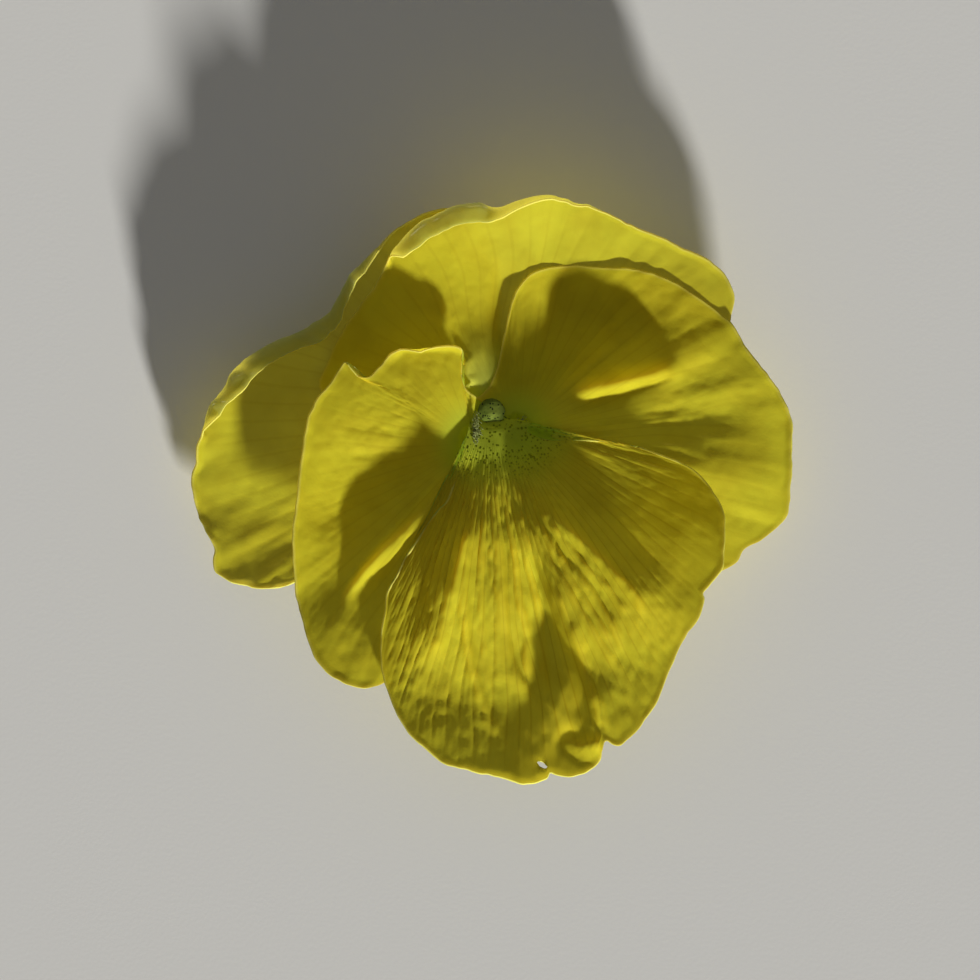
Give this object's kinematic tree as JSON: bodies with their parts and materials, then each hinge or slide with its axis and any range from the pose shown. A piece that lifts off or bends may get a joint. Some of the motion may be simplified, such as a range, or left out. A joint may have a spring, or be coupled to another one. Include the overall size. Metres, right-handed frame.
{
  "type": "pansy flower",
  "caption": "Open pansy bloom with overlapping waved petals, a throat with its pistil, a green calyx, a nectar spur and a short stalk, picked and lying face up.",
  "frame": {"origin": "on the resting surface, under the middle of the flower's outline", "axes": "+Z out of the flower's face, up from the surface; +Y to the top of the face, towards the two upper petals; +X to the right as seen from the front"},
  "size_m": [0.0603, 0.0591, 0.0136],
  "materials": {
    "petal_yellow": "velvety, thin and slightly translucent",
    "sepal_green": "satin, soft leaf",
    "anther_cream": "dull, powdery",
    "stigma_green": "moist satin"
  },
  "bodies": {
    "root": {"petal_upper_left": "petal_yellow", "petal_upper_right": "petal_yellow", "petal_side_left": "petal_yellow", "petal_side_right": "petal_yellow", "petal_lower": "petal_yellow", "calyx_and_stalk": "sepal_green", "stamens": "anther_cream", "pistil": "stigma_green"}
  },
  "joints": []
}
